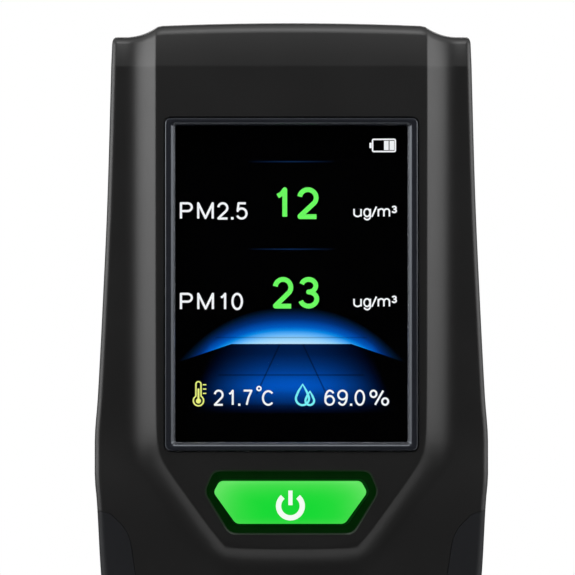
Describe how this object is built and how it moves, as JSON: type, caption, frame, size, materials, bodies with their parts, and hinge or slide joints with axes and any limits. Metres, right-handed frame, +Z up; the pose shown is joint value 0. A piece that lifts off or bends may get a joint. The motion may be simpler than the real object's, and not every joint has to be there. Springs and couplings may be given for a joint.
{
  "type": "air quality monitor",
  "caption": "Handheld air quality monitor with a raised panel, an upright colour screen, a lit power key, a rounded grip, an air inlet on top and a tripod insert in the back.",
  "frame": {"origin": "under the middle of the base, halfway between the power key's face and the back", "axes": "+Z up along the body, the screen faces -Y, +X to the right of someone reading the screen"},
  "size_m": [0.0728, 0.036, 0.1564],
  "materials": {
    "shell_black": "fine moulded texture, satin",
    "grip_rubber": "soft matt",
    "bezel_gloss": "polished",
    "window_clear": "clear, gloss",
    "screen_lit": "lit colour screen",
    "foam": "matt foam",
    "flex_film": "amber film",
    "sheet_steel": "pressed sheet",
    "screw_steel": "zinc plated",
    "key_green": "translucent, lit from inside",
    "lamp": "clear lens",
    "board_green": "solder mask",
    "chip_black": "moulded epoxy",
    "plug_white": "moulded nylon",
    "cell_wrap": "laminated film",
    "lead_red": "silicone sleeve",
    "sensor_paint": "satin paint",
    "fan_black": "moulded",
    "brass": "turned",
    "label_grey": "bare, satin film"
  },
  "bodies": {
    "casing": {"battery_cell": "cell_wrap", "battery_lead": "lead_red", "battery_pad": "foam", "battery_plug": "plug_white", "board_screw_1": "screw_steel", "board_screw_2": "screw_steel", "board_screw_3": "screw_steel", "board_screw_4": "screw_steel", "button_led_left": "lamp", "button_led_right": "lamp", "buzzer": "chip_black", "case_screw_1": "screw_steel", "case_screw_2": "screw_steel", "case_screw_3": "screw_steel", "case_screw_4": "screw_steel", "charge_board": "board_green", "climate_board": "board_green", "climate_sensor": "plug_white", "display_flex": "flex_film", "display_window": "window_clear", "fan_axle": "screw_steel", "fan_motor": "sheet_steel", "front_case": "shell_black", "grip_left": "grip_rubber", "grip_right": "grip_rubber", "inlet_grille": "shell_black", "laser_diode": "brass", "laser_holder": "chip_black", "lcd_frame": "sheet_steel", "lcd_panel": "screen_lit", "main_board": "board_green", "main_chip": "chip_black", "power_switch": "sheet_steel", "rating_label": "label_grey", "rear_case": "shell_black", "screen_bezel": "bezel_gloss", "sensor_board": "board_green", "sensor_cover": "sensor_paint", "sensor_housing": "sensor_paint", "tripod_insert": "brass", "usb_socket": "sheet_steel", "window_gasket": "foam"},
    "power_key": {"power_button": "key_green", "switch_plunger": "chip_black"},
    "fan": {"fan_rotor": "fan_black"}
  },
  "joints": [
    {"name": "power_key_press", "type": "slide", "parent": "casing", "child": "power_key", "axis": [0, 1, 0], "range_m": [0, 0.0008], "stiffness_N_per_m": 900},
    {"name": "fan_spin", "type": "hinge", "parent": "casing", "child": "fan", "pos_m": [-0.0115, 0.00775, 0.124], "axis": [0, 1, 0], "continuous": true}
  ]
}
